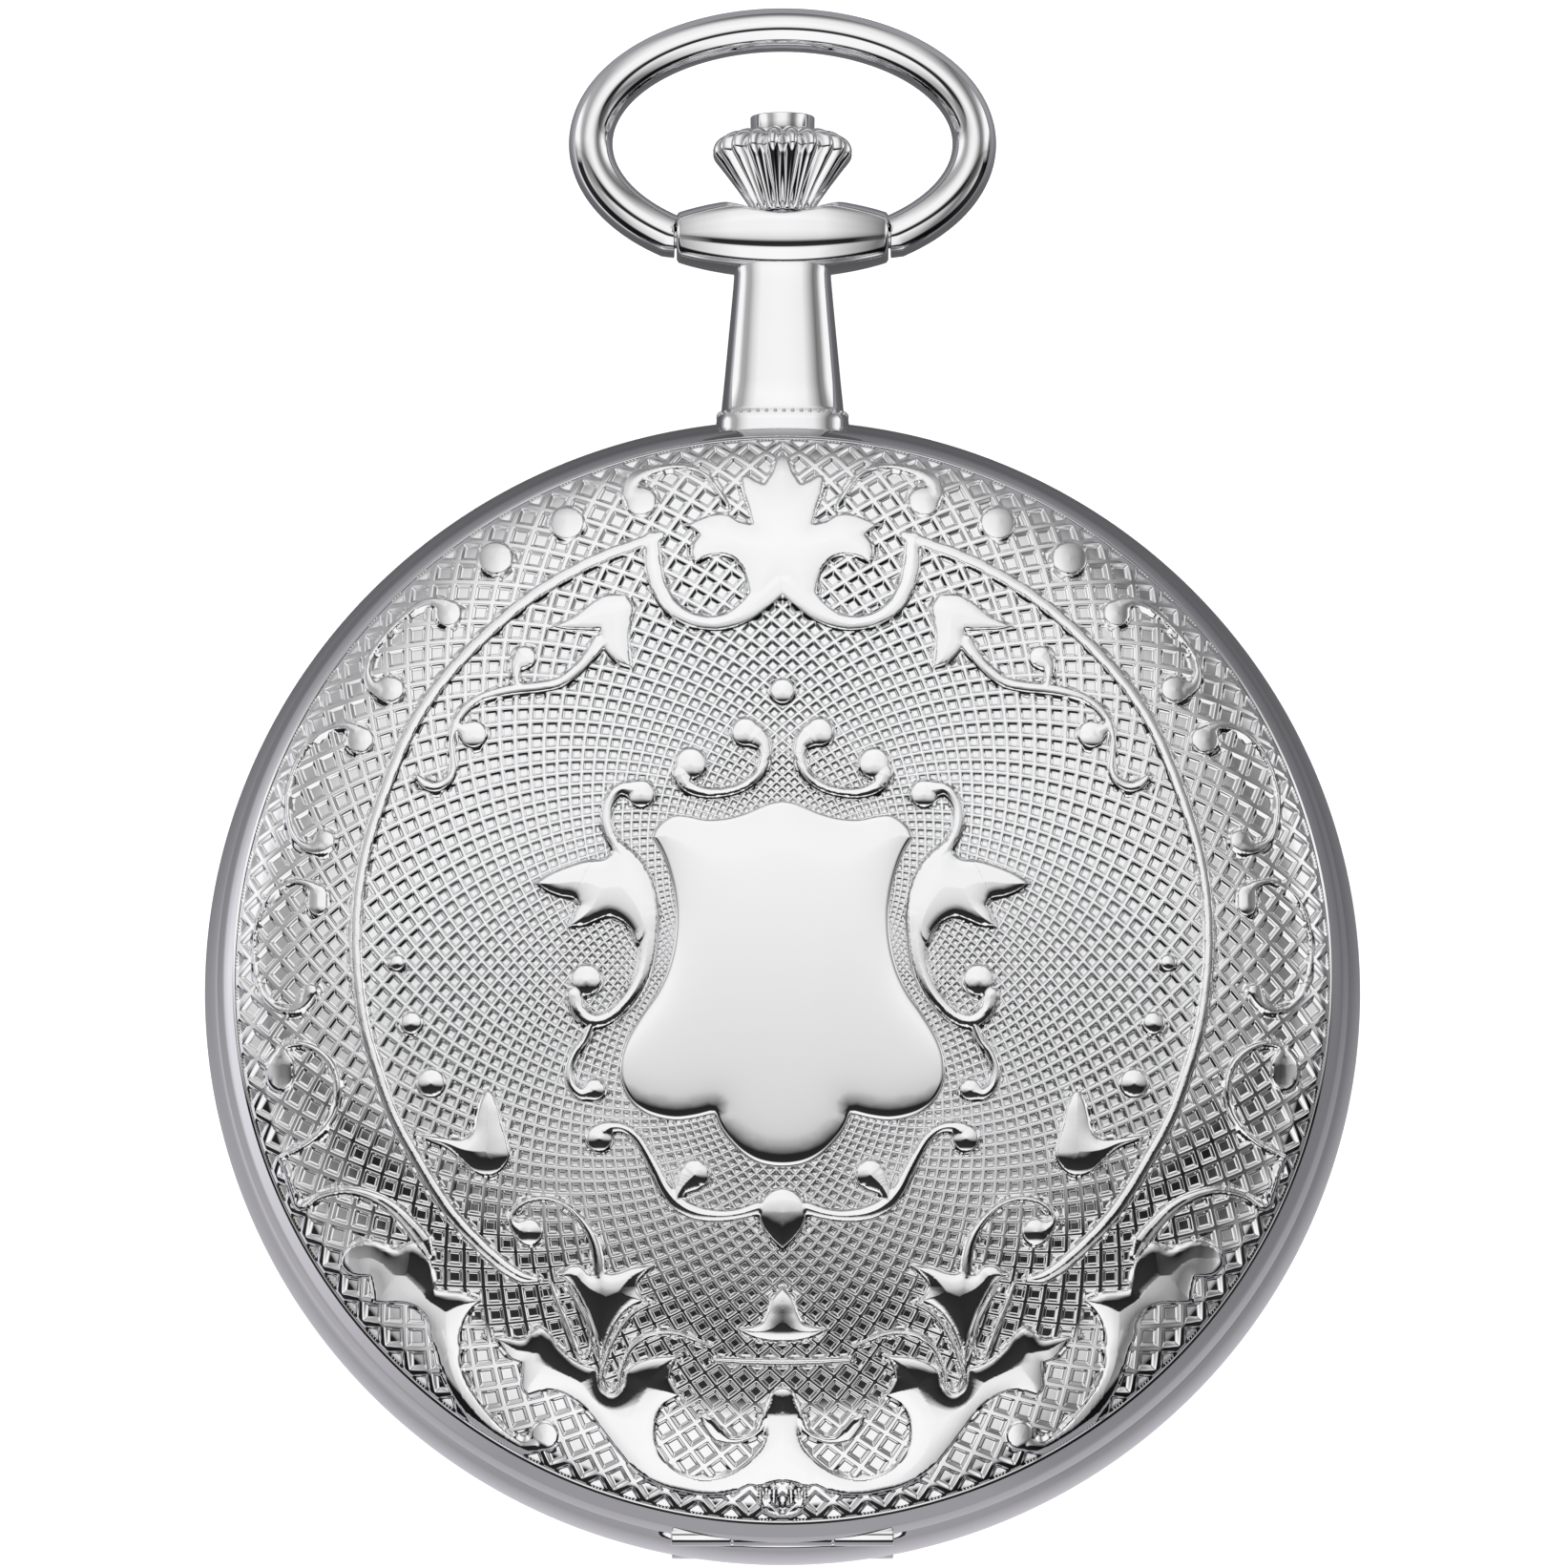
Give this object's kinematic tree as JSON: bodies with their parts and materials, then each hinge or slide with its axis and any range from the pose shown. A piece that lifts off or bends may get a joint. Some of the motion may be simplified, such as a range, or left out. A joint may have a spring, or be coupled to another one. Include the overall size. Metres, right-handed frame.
{
  "type": "pocket watch",
  "caption": "Round pocket watch in a polished double-hinged case with an embossed front cover, fluted crown, bow and a hand-wound movement.",
  "frame": {"origin": "centre of the flat face of the back cover, which the watch lies on", "axes": "+Z out through the dial and the front cover, +Y to the pendant, crown and bow at 12 o'clock, +X to 3 o'clock"},
  "size_m": [0.047, 0.0642, 0.0112],
  "materials": {
    "case_metal": "mirror polished",
    "pendant_metal": "mirror polished",
    "bow_metal": "mirror polished",
    "crown_metal": "mirror polished",
    "button_metal": "mirror polished",
    "glass": "clear, polished",
    "case_steel": "polished steel",
    "case_brass": "turned",
    "dial_enamel": "white enamel, glossy",
    "hand_metal": "blued steel",
    "plate_metal": "striped nickel plating",
    "screw_metal": "blued steel",
    "wheel_brass": "gilt",
    "wheel_steel": "polished steel",
    "hairspring_metal": "blued spring steel",
    "ruby": "polished ruby"
  },
  "bodies": {
    "case": {"case_middle": "case_metal", "pendant": "pendant_metal", "pendant_sleeve": "case_brass", "front_hinge_pin": "case_steel", "back_hinge_pin": "case_steel", "catch_spring": "case_steel", "lift_spring": "case_steel", "front_bezel": "case_metal", "front_crystal": "glass", "dial_surround": "case_metal", "rear_bezel": "case_metal", "rear_crystal": "glass", "movement_ring": "plate_metal", "case_screws": "screw_metal", "dial": "dial_enamel", "main_plate": "plate_metal", "barrel_bridge": "plate_metal", "train_bridge": "plate_metal", "balance_cock": "plate_metal", "pallet_cock": "plate_metal", "bridge_screws": "screw_metal", "click": "wheel_steel", "click_spring": "wheel_steel", "hairspring": "hairspring_metal", "regulator": "wheel_steel", "setting_lever": "wheel_steel", "yoke": "wheel_steel", "jewels": "ruby"},
    "front_cover": {"front_cover": "case_metal"},
    "back_cover": {"back_cover": "case_metal"},
    "bow": {"bow": "bow_metal"},
    "stem_slide": {"stem_ring": "case_brass"},
    "crown": {"crown": "crown_metal", "winding_stem": "case_steel", "sliding_clutch": "wheel_steel"},
    "crown_button": {"crown_button": "button_metal"},
    "winding_pinion": {"winding_pinion": "wheel_steel"},
    "crown_wheel": {"crown_wheel": "wheel_steel", "crown_wheel_screw": "screw_metal"},
    "ratchet": {"ratchet_wheel": "wheel_steel", "ratchet_screw": "screw_metal", "barrel_arbor": "wheel_steel"},
    "barrel": {"barrel": "wheel_brass", "barrel_cover": "wheel_brass", "mainspring": "wheel_steel"},
    "centre": {"centre_wheel": "wheel_brass", "cannon_pinion": "wheel_steel", "minute_hand": "hand_metal"},
    "minute_wheel": {"minute_wheel": "wheel_brass"},
    "hour": {"hour_wheel": "wheel_brass", "hour_hand": "hand_metal"},
    "third": {"third_wheel": "wheel_brass"},
    "fourth": {"fourth_wheel": "wheel_brass", "seconds_hand": "hand_metal"},
    "escape": {"escape_wheel": "wheel_steel"},
    "pallet": {"pallet_fork": "wheel_steel", "pallet_stones": "ruby"},
    "balance": {"balance_wheel": "wheel_brass", "balance_staff": "wheel_steel"}
  },
  "joints": [
    {"name": "front_cover_hinge", "type": "hinge", "parent": "case", "child": "front_cover", "pos_m": [0, -0.02255, 0.00732], "axis": [1, 0, 0], "range_deg": [0, 95]},
    {"name": "back_cover_hinge", "type": "hinge", "parent": "case", "child": "back_cover", "pos_m": [0, -0.02255, 0.00308], "axis": [-1, 0, 0], "range_deg": [0, 95]},
    {"name": "bow_pivot", "type": "hinge", "parent": "case", "child": "bow", "pos_m": [0, 0.03115, 0.0052], "axis": [1, 0, 0], "range_deg": [-135, 135]},
    {"name": "stem_pull", "type": "slide", "parent": "case", "child": "stem_slide", "axis": [0, 1, 0], "range_m": [0, 0.0009]},
    {"name": "crown_turn", "type": "hinge", "parent": "stem_slide", "child": "crown", "pos_m": [0, 0.025, 0.0052], "axis": [0, 1, 0], "continuous": true},
    {"name": "button_push", "type": "slide", "parent": "crown", "child": "crown_button", "axis": [0, -1, 0], "range_m": [0, 0.0005], "stiffness_N_per_m": 400},
    {"name": "winding_pinion_turn", "type": "hinge", "parent": "case", "child": "winding_pinion", "pos_m": [0, 0.0165, 0.0052], "axis": [0, 1, 0], "continuous": true},
    {"name": "crown_wheel_turn", "type": "hinge", "parent": "case", "child": "crown_wheel", "pos_m": [0, 0.01385, 0.003], "axis": [0, 0, 1], "continuous": true},
    {"name": "ratchet_turn", "type": "hinge", "parent": "case", "child": "ratchet", "pos_m": [-0.0072, 0.0054, 0.003], "axis": [0, 0, 1], "continuous": true},
    {"name": "centre_turn", "type": "hinge", "parent": "case", "child": "centre", "pos_m": [0, 0, 0.005], "axis": [0, 0, 1], "continuous": true},
    {"name": "barrel_turn", "type": "hinge", "parent": "case", "child": "barrel", "pos_m": [-0.0072, 0.0054, 0.004], "axis": [0, 0, 1], "continuous": true},
    {"name": "minute_wheel_turn", "type": "hinge", "parent": "case", "child": "minute_wheel", "pos_m": [0.0024, 0.00416, 0.006], "axis": [0, 0, 1], "continuous": true},
    {"name": "hour_turn", "type": "hinge", "parent": "case", "child": "hour", "pos_m": [0, 0, 0.006], "axis": [0, 0, 1], "continuous": true},
    {"name": "third_turn", "type": "hinge", "parent": "case", "child": "third", "pos_m": [0.00536, -0.00481, 0.004], "axis": [0, 0, 1], "continuous": true},
    {"name": "fourth_turn", "type": "hinge", "parent": "case", "child": "fourth", "pos_m": [0, -0.0074, 0.004], "axis": [0, 0, 1], "continuous": true},
    {"name": "escape_turn", "type": "hinge", "parent": "case", "child": "escape", "pos_m": [-0.0031, -0.0122, 0.0045], "axis": [0, 0, 1], "continuous": true},
    {"name": "pallet_rock", "type": "hinge", "parent": "case", "child": "pallet", "pos_m": [-0.00572, -0.01036, 0.0045], "axis": [0, 0, 1], "range_deg": [-5, 5]},
    {"name": "balance_swing", "type": "hinge", "parent": "case", "child": "balance", "pos_m": [-0.0098, -0.0075, 0.0035], "axis": [0, 0, 1], "range_deg": [-270, 270]}
  ],
  "couplings": [
    {"joint": "winding_pinion_turn", "follows": "crown_turn", "ratio": 1},
    {"joint": "crown_wheel_turn", "follows": "crown_turn", "ratio": 0.33333},
    {"joint": "ratchet_turn", "follows": "crown_turn", "ratio": -0.19524},
    {"joint": "centre_turn", "follows": "fourth_turn", "ratio": 0.016667},
    {"joint": "barrel_turn", "follows": "fourth_turn", "ratio": -0.0025641},
    {"joint": "minute_wheel_turn", "follows": "fourth_turn", "ratio": -0.0055556},
    {"joint": "hour_turn", "follows": "fourth_turn", "ratio": 0.0013889},
    {"joint": "third_turn", "follows": "fourth_turn", "ratio": -0.13333},
    {"joint": "escape_turn", "follows": "fourth_turn", "ratio": -10}
  ]
}
